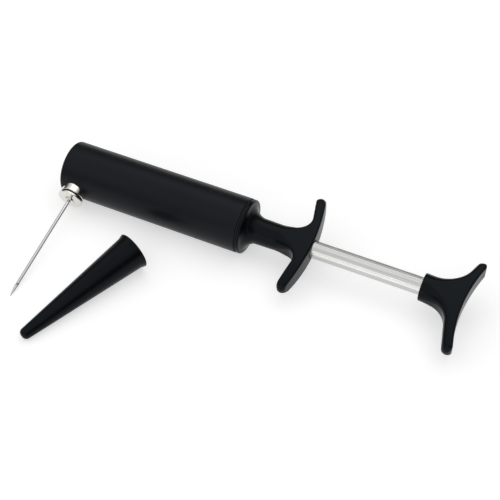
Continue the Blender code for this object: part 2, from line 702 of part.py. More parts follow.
def make_push_handle(opener, surfaces):
    """The palm handle: a socket for the rod between two hollow-faced wings."""
    profile = [(0.0, SOCKET_RADIUS - SOCKET_EDGE), (SOCKET_EDGE, SOCKET_RADIUS),
               (SOCKET_LENGTH, SOCKET_RADIUS), (HUB_LENGTH, HUB_END_RADIUS)]
    handle = new_piece("push_handle", turned(profile, BARREL_SIDES), surfaces["moulded_black"], opener)
    along_barrel(handle, HANDLE_X)
    outline = wing_outline((HANDLE_ROOT, HANDLE_ROOT_HALF), SOCKET_RADIUS, HANDLE_FACE,
                           HANDLE_FACE_RADIUS, -1, HANDLE_TIP_RADIUS,
                           (HANDLE_FAR_BACK, HANDLE_FAR_FILLET, HANDLE_FAR_SPAN),
                           (HANDLE_NEAR_BACK, HANDLE_NEAR_FILLET, HANDLE_NEAR_SPAN))
    outline = [(x - HANDLE_LEAN_PIVOT, y) for x, y in outline]
    wings = new_shape("join_handle_wings",
                      wing_pair(outline, HANDLE_DEPTH, HANDLE_TIP_DEPTH, HANDLE_EDGE), opener)
    wings.location.x = HANDLE_X + HANDLE_LEAN_PIVOT
    wings.rotation_euler.z = -HANDLE_LEAN
    bore = rod_shape(-CUT_OVERRUN, SOCKET_DEPTH, ROD_RADIUS + SEAT_GAP, BARREL_SIDES)
    stud_hole = rod_shape(0.0, SOCKET_DEPTH + STUD_IN_HANDLE + SEAT_GAP, STUD_RADIUS + SEAT_GAP,
                          INNER_SIDES)
    fuse(handle, wings)
    cut(handle, along_barrel(new_shape("cut_socket", bore, opener), HANDLE_X))
    cut(handle, along_barrel(new_shape("cut_handle_stud_hole", stud_hole, opener), HANDLE_X))


def make_handle_stud(opener, surfaces):
    """The stud that holds the handle on the rod."""
    length = STUD_IN_ROD + SEAT_GAP + STUD_IN_HANDLE
    stud = new_piece("handle_stud", rod_shape(0.0, length, STUD_RADIUS, INNER_SIDES),
                     surfaces["inner_steel"], opener)
    along_barrel(stud, ROD_END_X - STUD_IN_ROD)


def make_needle_guard(surfaces):
    """The conical guard, taken off the needle and lying on its side on the table."""
    facet = math.cos(math.pi / GUARD_SIDES)
    tilt = math.atan2((GUARD_LIP_RADIUS - GUARD_END_RADIUS) * facet, GUARD_LENGTH - GUARD_END_ROUND)
    level = GUARD_END_RADIUS * facet * math.cos(tilt) - GUARD_END_ROUND * math.sin(tilt) - BARREL_REST
    back = GUARD_LENGTH * math.cos(tilt)
    lie = new_empty("guard_lie",
                    (GUARD_MOUTH_X - back * math.cos(GUARD_HEADING),
                     GUARD_MOUTH_Y - back * math.sin(GUARD_HEADING), level),
                    (0.0, RIGHT_ANGLE - tilt, GUARD_HEADING))
    profile = arc(GUARD_END_ROUND, GUARD_END_RADIUS - GUARD_END_ROUND, GUARD_END_ROUND, math.pi,
                  RIGHT_ANGLE, ROUND_STEPS)
    profile += [(GUARD_LENGTH - GUARD_LIP_LENGTH, GUARD_MOUTH_RADIUS),
                (GUARD_LENGTH, GUARD_LIP_RADIUS), (GUARD_LENGTH, GUARD_LIP_RADIUS - GUARD_WALL),
                (GUARD_LENGTH - GUARD_LIP_LENGTH, GUARD_MOUTH_RADIUS - GUARD_WALL),
                (GUARD_END_WALL, GUARD_END_RADIUS - GUARD_WALL)]
    new_piece("needle_guard", turned(profile, GUARD_SIDES, math.pi / GUARD_SIDES),
              surfaces["moulded_black"], lie)


def build_model():
    """Make every piece of the opener and its guard."""
    clear_scene()
    surfaces = make_materials()
    opener = new_empty("opener", (0.0, 0.0, 0.0), (ROLL, 0.0, 0.0))
    makers = (make_barrel, make_nipple, make_nipple_washer, make_lock_nut, make_valve_ball,
              make_valve_spring, make_gasket, make_needle_carrier, make_needle_collar,
              make_needle_tube, make_needle_point, make_cap_seal, make_grip_cap, make_rod_bush,
              make_buffer_ring, make_piston_rod, make_piston_body, make_piston_cup,
              make_cup_washer, make_piston_screw, make_push_handle, make_handle_stud)
    for make in makers:
        make(opener, surfaces)
    make_needle_guard(surfaces)


build_model()
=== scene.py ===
"""Looks of the cork remover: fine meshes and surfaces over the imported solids, in metres.

The opener's own axes are X along the barrel, -Y along the needle and Z square to both. The
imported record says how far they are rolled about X. A piece is made in those axes and its
mesh is then turned into place, so each object stays at the origin.
"""
import json
import math

import bmesh
import bpy
import numpy as np
from mathutils import Matrix, Vector


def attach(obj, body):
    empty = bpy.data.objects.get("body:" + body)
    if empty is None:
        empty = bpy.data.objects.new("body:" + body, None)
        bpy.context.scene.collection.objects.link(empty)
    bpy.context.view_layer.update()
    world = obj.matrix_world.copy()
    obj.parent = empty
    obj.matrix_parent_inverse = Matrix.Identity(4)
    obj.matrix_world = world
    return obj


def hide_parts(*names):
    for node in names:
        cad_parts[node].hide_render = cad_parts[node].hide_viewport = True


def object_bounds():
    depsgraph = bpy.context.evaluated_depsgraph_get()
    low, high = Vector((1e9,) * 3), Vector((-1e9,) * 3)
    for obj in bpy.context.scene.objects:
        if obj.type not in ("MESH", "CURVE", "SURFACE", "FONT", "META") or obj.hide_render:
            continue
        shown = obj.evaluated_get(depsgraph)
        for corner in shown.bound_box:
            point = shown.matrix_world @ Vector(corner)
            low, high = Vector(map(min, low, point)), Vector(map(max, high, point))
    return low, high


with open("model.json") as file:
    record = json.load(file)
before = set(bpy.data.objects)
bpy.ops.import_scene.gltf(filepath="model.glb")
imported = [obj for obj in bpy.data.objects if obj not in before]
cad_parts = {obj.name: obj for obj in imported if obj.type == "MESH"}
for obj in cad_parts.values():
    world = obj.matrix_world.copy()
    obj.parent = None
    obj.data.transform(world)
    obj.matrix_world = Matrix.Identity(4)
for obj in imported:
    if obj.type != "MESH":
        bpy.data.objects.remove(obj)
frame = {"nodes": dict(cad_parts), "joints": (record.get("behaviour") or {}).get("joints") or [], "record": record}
CAD_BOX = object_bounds()

# Turns, and how far shapes overrun, clear and hold each other
FULL_TURN = 2 * math.pi
RIGHT_ANGLE = math.pi / 2
SMOOTH_ANGLE = math.radians(30)
OVERRUN = 0.0010
FIT = 0.00015
HOLD = 0.00006
MERGE_DISTANCE = 1e-8

# How finely round shapes are cut
BARREL_SIDES = 192
GUARD_SIDES = 160
ROUND_SIDES = 96
POCKET_SIDES = 64
SPIGOT_SIDES = 48
NEEDLE_SIDES = 40
VENT_SIDES = 32
BACK_SIDES = 24
FILLET_STEPS = 6
DOME_STEPS = 12
POINT_STEPS = 16
CAP_EDGE_STEPS = 8
SHOULDER_STEPS = 24
WING_FILLET_STEPS = 16
WING_TIP_STEPS = 20
WING_FACE_STEPS = 20
ROD_STEPS = 8

# Barrel
BARREL_RADIUS = 0.01646
BARREL_LENGTH = 0.1142
BARREL_WALL = 0.0015
BARREL_END_WALL = 0.0025
BARREL_EDGE = 0.0011
BARREL_RIM = 0.0004

# Needle, nipple and carrier, as distances from the barrel's axis and radii
NEEDLE_FROM_END = 0.0090
NIPPLE_RADIUS = 0.0076
NIPPLE_TOP = 0.0192
NIPPLE_EDGE = 0.00045
SADDLE_RADIUS = 0.0166
SADDLE_LENGTH = 0.0200
SPIGOT_RADIUS = 0.0042
SPIGOT_END = 0.0080
SEAT_HOLE = 0.0010
CHAMBER_BASE = 0.0090
CHAMBER_RADIUS = 0.0025
SHANK_SEAT = 0.0157
SHANK_END = 0.0160
SHANK_RADIUS = 0.0032
POCKET_RADIUS = 0.0024
POCKET_FLOOR = 0.0180
FLANGE_BACK = 0.0202
FLANGE_RIM = 0.0215
FLANGE_RADIUS = 0.00774
FLANGE_EDGE = 0.0003
DOME_TOP = 0.0221
BOSS_RADIUS = 0.0030
BOSS_TOP = 0.0229
BOSS_EDGE = 0.0003
NEEDLE_RADIUS = 0.00107
NEEDLE_BORE = 0.0006
NEEDLE_START = 0.0166
NEEDLE_REACH = 0.0920
POINT_LENGTH = 0.0073
POINT_END_RADIUS = 0.0001
POINT_PLUG_RADIUS = 0.0003
POINT_PLUG_LENGTH = 0.0015
VENT_FROM_POINT = 0.00805
VENT_RADIUS = 0.0007
VENT_SIDE = math.radians(40)

# Grip cap, as distances from its back
CAP_X = 0.1152
PLUG_LENGTH = 0.0125
PLUG_RADIUS = 0.0147
PLUG_EDGE = 0.0003
CAP_RADIUS = 0.01631
CAP_FLANGE_LENGTH = 0.0020
CAP_EDGE = 0.0010
CAP_OVERLENGTH = 0.0030
SHOULDER_LENGTH = 0.0088
NECK_RADIUS = 0.00765
NECK_LENGTH = 0.0238
NECK_SINK = 0.0010
BACK_CUT_LENGTH = 0.0100
BACK_CUT_RADIUS = 0.0200
ROD_GAP = 0.0004
BUSH_RADIUS = 0.0080
BUSH_LENGTH = 0.0062

# Wings: each has its half widths at the root and at the fillet, its back and fillet, how far out
# its tip is, the tip's radius and the face's radius
GRIP_FACE = 0.04185
GRIP_FACE_RADIUS = 0.1100
GRIP_FAR_WING = (0.0079, 0.0074, 0.0353, 0.0072, 0.0296, 0.00290, GRIP_FACE_RADIUS)
GRIP_NEAR_WING = (0.0083, 0.0078, 0.0345, 0.0058, 0.0296, 0.00285, GRIP_FACE_RADIUS)
GRIP_HALF_SPAN = 0.0327
GRIP_ROOT = 0.0020
GRIP_WAISTS = (0.0079, 0.0074)
GRIP_DEPTHS = (0.01405, 0.0066)
GRIP_EDGES = (0.0013, 0.0016)
GRIP_CHANGE = (0.0200, 0.0350)
HANDLE_FACE = 0.02510
HANDLE_FACE_RADIUS = 0.1018
HANDLE_FAR_WING = (0.0076, 0.0076, 0.0216, 0.0155, 0.0232, 0.00265, HANDLE_FACE_RADIUS)
HANDLE_NEAR_WING = (0.0088, 0.0084, 0.0201, 0.0114, 0.0293, 0.00300, 0.0840)
HANDLE_HALF_SPAN = 0.0327
HANDLE_ROOT = -0.0200
HANDLE_DEPTHS = (0.01335, 0.0090)
HANDLE_EDGES = (0.0013, 0.0032)
HANDLE_CHANGE = (0.0020, 0.0200)
STEM_ACROSS = (0.0120, 0.0200)
EDGE_CHANGE = (0.0010, 0.0040)
TIP_ROUND = 0.0045
TIP_SOFT = 0.85
ROUND_SHARE = 0.995

# Piston rod
ROD_RADIUS = 0.00521
ROD_X = 0.0963
ROD_END_X = 0.2369
ROD_FLUTES = 28
FLUTE_DEPTH = 0.00008
FLUTE_POINTS = 10
ROD_CHAMFER = 0.0003
SCREW_HOLE = 0.0023
SCREW_HOLE_DEPTH = 0.0073
STUD_HOLE = 0.0028
STUD_HOLE_DEPTH = 0.0073

# Push handle, as distances from its socket's end
HANDLE_X = 0.2219
HANDLE_LENGTH = 0.0316
HANDLE_LEAN = math.radians(4.7)
HANDLE_LEAN_PIVOT = 0.0041
SOCKET_RADIUS = 0.00763
SOCKET_EDGE = 0.0006
SOCKET_DEPTH = 0.0153
STUD_IN_HANDLE = 0.0071

# Needle guard, lying on the table. The facet keeps it inside its solid, which has flat sides.
GUARD_SOLID_SIDES = 40
GUARD_FACET = math.cos(math.pi / GUARD_SOLID_SIDES)
GUARD_LENGTH = 0.08033
GUARD_WALL = 0.0012
GUARD_END_WALL = 0.0020
GUARD_LIP_RADIUS = 0.01142
GUARD_LIP_LENGTH = 0.0030
GUARD_LIP_EDGE = 0.0002
GUARD_MOUTH_RADIUS = 0.01042
GUARD_MOUTH_EDGE = 0.0003
GUARD_END_RADIUS = 0.00347
GUARD_END_ROUND = 0.0030
GUARD_END_FILLET = GUARD_END_ROUND * 0.93
GUARD_END_INSET = 0.00008
GUARD_TAPER_LENGTH = 0.07735
GUARD_MOUTH_X = 0.0621
GUARD_MOUTH_Y = -0.0394
GUARD_HEADING = math.radians(67.6)

# Grid that the moulded pieces are taken from, and how they are smoothed and settled
GRID_STEP = 0.0007
GRID_MARGIN = 0.0020
FIRST_ROUNDS = 2
LAST_ROUNDS = 4
SMOOTHING = 0.5
FIELD_STEP = 0.00002
LEAST_SLOPE = 0.25

# Surfaces, by the record's slot names
EVEN = (1.0, 1.0, 1.0)
COOL = (0.76, 0.89, 1.0)
ALONG_ROD = (0.02, 1.0, 1.0)
ALONG_TUBE = (1.0, 0.03, 0.1)
CLOUD_DETAIL = 3.0
GRAIN_DETAIL = 2.0
PATTERN_RANGE = (0.3, 0.7)
RELIEF_HEIGHT = 0.0001
LOOKS = {
    "barrel_black": dict(
        colours=((0.0046, 0.0051, 0.0058), (0.0062, 0.0068, 0.0078)), roughness=(0.34, 0.42),
        specular=0.17, shine=COOL, clouds=70.0, grains=3200.0, bump=0.06),
    "moulded_black": dict(
        colours=((0.0024, 0.0030, 0.0038), (0.0034, 0.0041, 0.0051)), roughness=(0.24, 0.32),
        specular=0.12, shine=COOL, clouds=70.0, grains=2600.0, bump=0.05),
    "rod_aluminium": dict(
        colours=((0.54, 0.54, 0.53), (0.62, 0.62, 0.61)), roughness=(0.13, 0.20), metallic=1.0,
        clouds=900.0, cloud_stretch=ALONG_ROD, grains=5000.0, grain_stretch=ALONG_ROD, bump=0.08),
    "bright_chrome": dict(
        colours=((0.70, 0.69, 0.65), (0.74, 0.73, 0.69)), roughness=(0.03, 0.07), metallic=1.0,
        clouds=160.0, grains=2500.0, bump=0.01),
    "needle_steel": dict(
        colours=((0.62, 0.63, 0.64), (0.70, 0.71, 0.72)), roughness=(0.05, 0.10), metallic=1.0,
        clouds=900.0, cloud_stretch=ALONG_TUBE, grains=2500.0, bump=0.02),
    "inner_brass": dict(
        colours=((0.62, 0.46, 0.22), (0.72, 0.55, 0.28)), roughness=(0.28, 0.40), metallic=1.0,
        clouds=300.0, grains=2500.0, bump=0.05),
    "inner_steel": dict(
        colours=((0.50, 0.51, 0.53), (0.60, 0.61, 0.62)), roughness=(0.26, 0.40), metallic=1.0,
        clouds=300.0, grains=2500.0, bump=0.05),
    "seal_rubber": dict(
        colours=((0.016, 0.016, 0.017), (0.024, 0.024, 0.025)), roughness=(0.68, 0.82),
        specular=0.3, clouds=200.0, grains=2500.0, bump=0.2),
    "bush_plastic": dict(
        colours=((0.68, 0.67, 0.62), (0.74, 0.73, 0.69)), roughness=(0.40, 0.52),
        clouds=120.0, grains=2500.0, bump=0.08),
}

# Camera, fitted to the outlines in the photo
CAMERA_PLACE = (0.2861, -0.3709, 0.4639)
CAMERA_TURN = (math.radians(90 - 49.8982), 0.0, math.radians(24.4477))
CAMERA_LENS = 76.82
CAMERA_SENSOR = 36.0
CAMERA_SHIFT = -0.0008
CAMERA_NEAR = 0.01

# World: how bright its dome and its dark walls are, and where the walls begin and end, by the
# height and the side of a direction of unit length
DOME_LEVEL = 0.95
WALL_LEVEL = 0.06
BACK_HEIGHT = (0.85, 0.40)
BACK_WIDTH = (0.0, 0.4)
LEFT_HEIGHT = (0.60, 0.25)
LEFT_WIDTH = (-0.15, -0.42)
RIGHT_HEIGHT = (0.85, 0.45)
RIGHT_WIDTH = (0.15, 0.50)
PALE_HORIZON = (0.02, 0.08)

# Floor, and the lamps by place, target, size and power
FLOOR_HALF = 20.0
FLOOR_WHITE = 0.62
FLOOR_ROUGHNESS = 0.9
FLOOR_GLOW = 0.55
LAMPS = {
    "key_softbox": ((0.10, 0.55, 0.95), (0.12, 0.0, 0.0), (1.1, 0.7), 1.2),
    "side_softbox": ((-0.80, -0.30, 0.60), (0.10, 0.0, 0.0), (0.6, 0.6), 0.4),
    "front_softbox": ((0.08, -1.05, 0.20), (0.17, 0.0, 0.0), (0.40, 0.32), 0.6),
}


def find_roll():
    """How far the opener's axes are rolled about X, from the axis that the needle turns on."""
    axis = next(joint["axis"] for joint in frame["joints"] if joint["name"] == "needle_turn")
    return math.atan2(-axis[2], -axis[1])


OPENER = Matrix.Rotation(find_roll(), 4, "X")
TABLE_Z = CAD_BOX[0].z


def along_barrel(x):
    """Place for a shape whose local Z lies on the barrel's axis and starts at x."""
    return OPENER @ Matrix.Translation((x, 0.0, 0.0)) @ Matrix.Rotation(RIGHT_ANGLE, 4, "Y")


def along_needle(distance):
    """Place for a shape whose local Z lies on the needle's axis, from the barrel's axis on."""
    place = Matrix.Translation((NEEDLE_FROM_END, -distance, 0.0))
    return OPENER @ place @ Matrix.Rotation(RIGHT_ANGLE, 4, "X")


def arc(centre_x, centre_y, radius, start, stop, steps):
    """Points on an arc, both ends included."""
    angles = [start + (stop - start) * step / steps for step in range(steps + 1)]
    return [(centre_x + radius * math.cos(a), centre_y + radius * math.sin(a)) for a in angles]


def rounded(corners):
    """Profile through (height, radius, fillet) corners, with an arc at each fillet."""
    points = []
    for index, (height, radius, fillet) in enumerate(corners):
        here = Vector((height, radius))
        if not fillet:
            points.append(here)
            continue
        before = (Vector(corners[index - 1][:2]) - here).normalized()
        after = (Vector(corners[(index + 1) % len(corners)][:2]) - here).normalized()
        opening = before.angle(after)
        reach = fillet / math.tan(opening / 2)
        centre = here + (before + after).normalized() * fillet / math.sin(opening / 2)
        first = here + before * reach - centre
        last = here + after * reach - centre
        sweep = first.angle(last)
        points.append(centre + first + before * HOLD)
        for step in range(FILLET_STEPS + 1):
            share = step / FILLET_STEPS
            weights = math.sin((1 - share) * sweep), math.sin(share * sweep)
            points.append(centre + (first * weights[0] + last * weights[1]) / math.sin(sweep))
        points.append(centre + last + after * HOLD)
    return [(point.x, point.y) for point in points]


def lathe(profile, sides, closed=False):
    """Spin (height, radius) pairs about local Z. Points on the axis become poles."""
    bm = bmesh.new()
    verts = [bm.verts.new((radius, 0.0, height)) for height, radius in profile]
    edges = [bm.edges.new(pair) for pair in zip(verts, verts[1:])]
    if closed:
        edges.append(bm.edges.new((verts[-1], verts[0])))
    bmesh.ops.spin(bm, geom=verts + edges, axis=(0.0, 0.0, 1.0), angle=FULL_TURN, steps=sides,
                   use_merge=True)
    bmesh.ops.remove_doubles(bm, verts=bm.verts, dist=MERGE_DISTANCE)
    return bm


def loft(rings):
    """Skin a row of rings that have the same number of points, and close both ends."""
    bm = bmesh.new()
    rows = [[bm.verts.new(point) for point in ring] for ring in rings]
    for row, after in zip(rows, rows[1:]):
        for index, corner in enumerate(row):
            previous = index - 1
            bm.faces.new((row[previous], corner, after[index], after[previous]))
    bm.faces.new(rows[0])
    bm.faces.new(rows[-1])
    return bm


def new_object(name, bm, place):
    """An object at the origin whose mesh is the shape turned into place."""
    bmesh.ops.transform(bm, matrix=place, verts=bm.verts)
    bmesh.ops.recalc_face_normals(bm, faces=bm.faces)
    mesh = bpy.data.meshes.new(name)
    bm.to_mesh(mesh)
    bm.free()
    shape = bpy.data.objects.new(name, mesh)
    bpy.context.scene.collection.objects.link(shape)
    return shape


def act(piece, other, operation):
    """Let another shape act on a piece for good, and delete that shape."""
    boolean = piece.modifiers.new("act", "BOOLEAN")
    boolean.operation = operation
    boolean.object = other
    boolean.solver = "EXACT"
    graph = bpy.context.evaluated_depsgraph_get()
    mesh = bpy.data.meshes.new_from_object(piece.evaluated_get(graph))
    piece.modifiers.clear()
    piece.data = mesh
    bpy.data.objects.remove(other, do_unlink=True)


def dress(piece, slot, body, *nodes):
    """Shade a piece, give it its slot's surface, tie it to its body and let it stand for nodes."""
    piece.data.materials.clear()
    piece.data.materials.append(SURFACES[slot])
    piece.data.shade_smooth()
    piece.data.set_sharp_from_angle(angle=SMOOTH_ANGLE)
    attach(piece, body)
    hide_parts(*nodes)


def polygon_distance(across, up, outline):
    """Distance from points to a closed outline in the plane, less than zero inside."""
    nearest = np.full(across.shape, np.inf)
    inside = np.zeros(across.shape, bool)
    corners = np.array(outline)
    for (ax, ay), (bx, by) in zip(corners, np.roll(corners, -1, axis=0)):
        ex, ey = bx - ax, by - ay
        rx, ry = across - ax, up - ay
        share = np.clip((rx * ex + ry * ey) / (ex * ex + ey * ey), 0.0, 1.0)
        nearest = np.minimum(nearest, (rx - share * ex) ** 2 + (ry - share * ey) ** 2)
        if ay != by:
            inside ^= ((ay > up) != (by > up)) & (across < ex * (up - ay) / ey + ax)
    return np.where(inside, -1.0, 1.0) * np.sqrt(nearest)


def slab_distance(outline_distance, depth, half, edge):
    """Distance to a plate with rounded rims, from the distance to its outline."""
    side = outline_distance + edge
    face = np.abs(depth) - half + edge
    outside = np.hypot(np.maximum(side, 0.0), np.maximum(face, 0.0))
    return np.minimum(np.maximum(side, face), 0.0) + outside - edge


def round_cut(first, second, radius):
    """What two solids share, with a rounded edge where their surfaces meet."""
    inner = np.minimum(np.maximum(first, second), -radius)
    return inner + np.hypot(np.maximum(first + radius, 0.0), np.maximum(second + radius, 0.0))


def wing_outline(root, face, bulge, far, near):
    """Outline of a pair of wings, with X along the axis and the far wing on its +Y side.

    Each wing is a row of the sizes that are named above the wings' values. The bulge is 1 for a
    face that bulges and -1 for a hollow one.
    """
    halves = []
    faces = []
    for start, waist, back, fillet, tip_span, tip_radius, face_radius in (far, near):
        centre = face - bulge * face_radius
        tip = centre + bulge * math.sqrt((face_radius - bulge * tip_radius) ** 2 - tip_span ** 2)
        face_angle = bulge * math.atan2(tip_span, bulge * (tip - centre))
        fillet_x, fillet_y = back - fillet, waist + fillet
        reach = math.hypot(tip - fillet_x, tip_span - fillet_y)
        end = math.atan2(tip_span - fillet_y, tip - fillet_x)
        end -= math.acos((fillet + tip_radius) / reach)
        half = [(root, start)] + arc(fillet_x, fillet_y, fillet, -RIGHT_ANGLE, end,
                                    WING_FILLET_STEPS)
        half += arc(tip, tip_span, tip_radius, end + math.pi, face_angle, WING_TIP_STEPS)
        halves.append(half)
        faces.append(arc(centre, 0.0, bulge * face_radius, face_angle, 0.0,
                         WING_FACE_STEPS)[1:])
    outline = halves[0] + faces[0] + [(x, -y) for x, y in reversed(faces[1][:-1])]
    return outline + [(x, -y) for x, y in reversed(halves[1])]


def ease(value, start, end):
    """0 before start, 1 after end and a smooth rise between them."""
    share = np.clip((value - start) / (end - start), 0.0, 1.0)
    return share * share * (3 - 2 * share)


def wing_distance(along, across, depth, outline, waist, depths, edges, behind, change):
    """Distance to a round stem that turns into a pair of flat wings.

    The stem's radius is the waist. The change is where along the axis its section stops being
    round and where it is as flat as the wings. They thin from the first depth to the second
    towards their tips, which are rounded. Their rims are rounded by the first edge at their face
    and by the second behind it, and behind says how far back from the face a point is.
    """
    span = max(abs(y) for x, y in outline)
    out = np.abs(across)
    level = np.sqrt(1 - np.minimum(out / span, 1.0) ** 2)
    half = (depths[1] + (depths[0] - depths[1]) * level) / 2
    stem = (1 - ease(along, *change)) * (1 - ease(out, *STEM_ACROSS))
    half = half + (waist - half) * stem
    tip = TIP_SOFT * ease(span - out, TIP_ROUND, 0.0)
    edge = edges[0] + (edges[1] - edges[0]) * ease(behind, *EDGE_CHANGE)
    rim = (edge + (half - edge) * np.maximum(stem, tip)) * ROUND_SHARE
    return slab_distance(polygon_distance(along, across, outline), depth, half, rim)


def leaned(along, across, pivot, angle):
    """Coordinates in axes that are turned about a point on the X axis."""
    x, y = along - pivot, across
    cosine, sine = math.cos(angle), math.sin(angle)
    return x * cosine - y * sine + pivot, x * sine + y * cosine


def mirrored(profile):
    """Close a (height, radius) profile with its mirror image across the axis."""
    return profile + [(height, -radius) for height, radius in reversed(profile)]


def surface_net(values, low, step):
    """Vertices and quads of the zero surface of a grid of distances."""
    shape = tuple(size - 1 for size in values.shape)
    total = np.zeros(shape + (3,))
    count = np.zeros(shape)
    crossings = []
    for axis in range(3):
        first = np.moveaxis(values, axis, 0)
        near, far = first[:-1], first[1:]
        crossed = (near < 0) != (far < 0)
        share = np.where(crossed, near / np.where(crossed, near - far, 1.0), 0.0)
        crossed, share = np.moveaxis(crossed, 0, axis), np.moveaxis(share, 0, axis)
        inward = np.moveaxis(near < 0, 0, axis)
        where = np.argwhere(crossed)
        point = where.astype(float)
        point[:, axis] += share[crossed]
        others = [other for other in range(3) if other != axis]
        cells = []
        for shift_first, shift_second in ((0, 0), (1, 0), (1, 1), (0, 1)):
            cell = where.copy()
            cell[:, others[0]] -= shift_first
            cell[:, others[1]] -= shift_second
            np.add.at(total, tuple(cell.T), point)
            np.add.at(count, tuple(cell.T), 1)
            cells.append(np.ravel_multi_index(tuple(cell.T), shape))
        quad = np.stack(cells, axis=1)
        flip = inward[crossed] ^ (axis == 1)
        quad[flip] = quad[flip][:, ::-1]
        crossings.append(quad)
    used = count.ravel() > 0
    numbers = np.cumsum(used) - 1
    points = total.reshape(-1, 3)[used] / count.ravel()[used][:, None]
    return points * step + low, numbers[np.concatenate(crossings)]


def settle(points, field, rounds):
    """Move points onto the zero surface of a field of distances."""
    for _ in range(rounds):
        value = field(points)
        slope = np.empty_like(points)
        for axis in range(3):
            step = np.zeros(3)
            step[axis] = FIELD_STEP
            slope[:, axis] = (field(points + step) - field(points - step)) / (2 * FIELD_STEP)
        size = np.maximum((slope ** 2).sum(1), LEAST_SLOPE)
        points = points - slope * (value / size)[:, None]
    return points


def moulded(name, field, low, high, place):
    """Mesh of the solid where a field of distances is less than zero."""
    low = np.array(low) - GRID_MARGIN
    counts = np.ceil((np.array(high) + GRID_MARGIN - low) / GRID_STEP).astype(int) + 1
    lines = [low[axis] + GRID_STEP * np.arange(counts[axis]) for axis in range(3)]
    grid = np.stack(np.meshgrid(*lines, indexing="ij"), axis=-1)
    values = field(grid.reshape(-1, 3)).reshape(grid.shape[:3])
    points, quads = surface_net(values, low, GRID_STEP)
    points = settle(points, field, FIRST_ROUNDS)
    mesh = bpy.data.meshes.new(name)
    mesh.from_pydata(points.tolist(), [], quads.tolist())
    bm = bmesh.new()
    bm.from_mesh(mesh)
    bmesh.ops.subdivide_edges(bm, edges=bm.edges, cuts=1, use_grid_fill=True)
    bmesh.ops.smooth_vert(bm, verts=bm.verts, factor=SMOOTHING, use_axis_x=True, use_axis_y=True,
                          use_axis_z=True)
    points = settle(np.array([vert.co for vert in bm.verts]), field, LAST_ROUNDS)
    for vert, point in zip(bm.verts, points):
        vert.co = point
    bpy.data.meshes.remove(mesh)
    return new_object(name, bm, place)


def fluted_ring(clearance, height, inset=0.0):
    """The rod's grooved section at a height, with rounded crests and grooves."""
    ring = []
    for step in range(ROD_FLUTES * FLUTE_POINTS):
        share = step % FLUTE_POINTS / FLUTE_POINTS
        groove = 0.5 - 0.5 * math.cos(FULL_TURN * share)
        radius = ROD_RADIUS + clearance - inset - FLUTE_DEPTH * groove ** 2
        angle = FULL_TURN * step / (ROD_FLUTES * FLUTE_POINTS)
        ring.append((radius * math.cos(angle), radius * math.sin(angle), height))
    return ring


def circle_ring(radius, height, count):
    """A round ring at a height."""
    angles = [FULL_TURN * step / count for step in range(count)]
    return [(radius * math.cos(a), radius * math.sin(a), height) for a in angles]


def math_node(tree, operation, *values):
    """A sum, product or the like of values, each a number or a socket."""
    node = tree.nodes.new("ShaderNodeMath")
    node.operation = operation
    for socket, value in zip(node.inputs, values):
        if isinstance(value, float):
            socket.default_value = value
        else:
            tree.links.new(value, socket)
    return node.outputs[0]


def ramp_node(tree, value, start, end):
    """0 where a value is at start, 1 at end and a smooth change between them."""
    ramp = tree.nodes.new("ShaderNodeMapRange")
    ramp.interpolation_type = "SMOOTHSTEP"
    ramp.inputs["From Min"].default_value = start
    ramp.inputs["From Max"].default_value = end
    tree.links.new(value, ramp.inputs["Value"])
    return ramp.outputs["Result"]


def noise(tree, coords, scale, detail, stretch):
    """A noise pattern on the piece's own coordinates."""
    mapping = tree.nodes.new("ShaderNodeMapping")
    mapping.inputs["Scale"].default_value = stretch
    texture = tree.nodes.new("ShaderNodeTexNoise")
    texture.inputs["Scale"].default_value = scale
    texture.inputs["Detail"].default_value = detail
    tree.links.new(coords.outputs["Object"], mapping.inputs["Vector"])
    tree.links.new(mapping.outputs["Vector"], texture.inputs["Vector"])
    return texture.outputs["Fac"]


def spread(tree, pattern, low, high):
    """Map a pattern's middle range onto low to high."""
    ranged = tree.nodes.new("ShaderNodeMapRange")
    ranged.inputs["From Min"].default_value = PATTERN_RANGE[0]
    ranged.inputs["From Max"].default_value = PATTERN_RANGE[1]
    ranged.inputs["To Min"].default_value = low
    ranged.inputs["To Max"].default_value = high
    tree.links.new(pattern, ranged.inputs["Value"])
    return ranged.outputs["Result"]


def blend_colours(tree, pattern, first, second):
    """Mix two colours by a pattern."""
    mix = tree.nodes.new("ShaderNodeMix")
    mix.data_type = "RGBA"
    mix.inputs[6].default_value = (*first, 1.0)
    mix.inputs[7].default_value = (*second, 1.0)
    tree.links.new(spread(tree, pattern, 0.0, 1.0), mix.inputs[0])
    return mix.outputs[2]


def make_surface(slot, colours, roughness, clouds, grains, bump, metallic=0.0, specular=0.5,
                 shine=EVEN, cloud_stretch=EVEN, grain_stretch=EVEN):
    """A surface with two close colours, uneven roughness and a fine relief.

    Clouds and grains are the scales of its coarse and its fine pattern.
    """
    surface = bpy.data.materials.new(f"{slot}_surface")
    surface.use_nodes = True
    tree = surface.node_tree
    shader = tree.nodes["Principled BSDF"]
    shader.inputs["Metallic"].default_value = metallic
    shader.inputs["Specular IOR Level"].default_value = specular
    shader.inputs["Specular Tint"].default_value = (*shine, 1.0)
    coords = tree.nodes.new("ShaderNodeTexCoord")
    cloud = noise(tree, coords, clouds, CLOUD_DETAIL, cloud_stretch)
    grain = noise(tree, coords, grains, GRAIN_DETAIL, grain_stretch)
    tree.links.new(blend_colours(tree, cloud, *colours), shader.inputs["Base Color"])
    both = math_node(tree, "MULTIPLY_ADD", grain, 0.5, math_node(tree, "MULTIPLY", cloud, 0.5))
    tree.links.new(spread(tree, both, *roughness), shader.inputs["Roughness"])
    relief = tree.nodes.new("ShaderNodeBump")
    relief.inputs["Strength"].default_value = bump
    relief.inputs["Distance"].default_value = RELIEF_HEIGHT
    tree.links.new(grain, relief.inputs["Height"])
    tree.links.new(relief.outputs["Normal"], shader.inputs["Normal"])
    return surface


SURFACES = {slot: make_surface(slot, **look) for slot, look in LOOKS.items()}


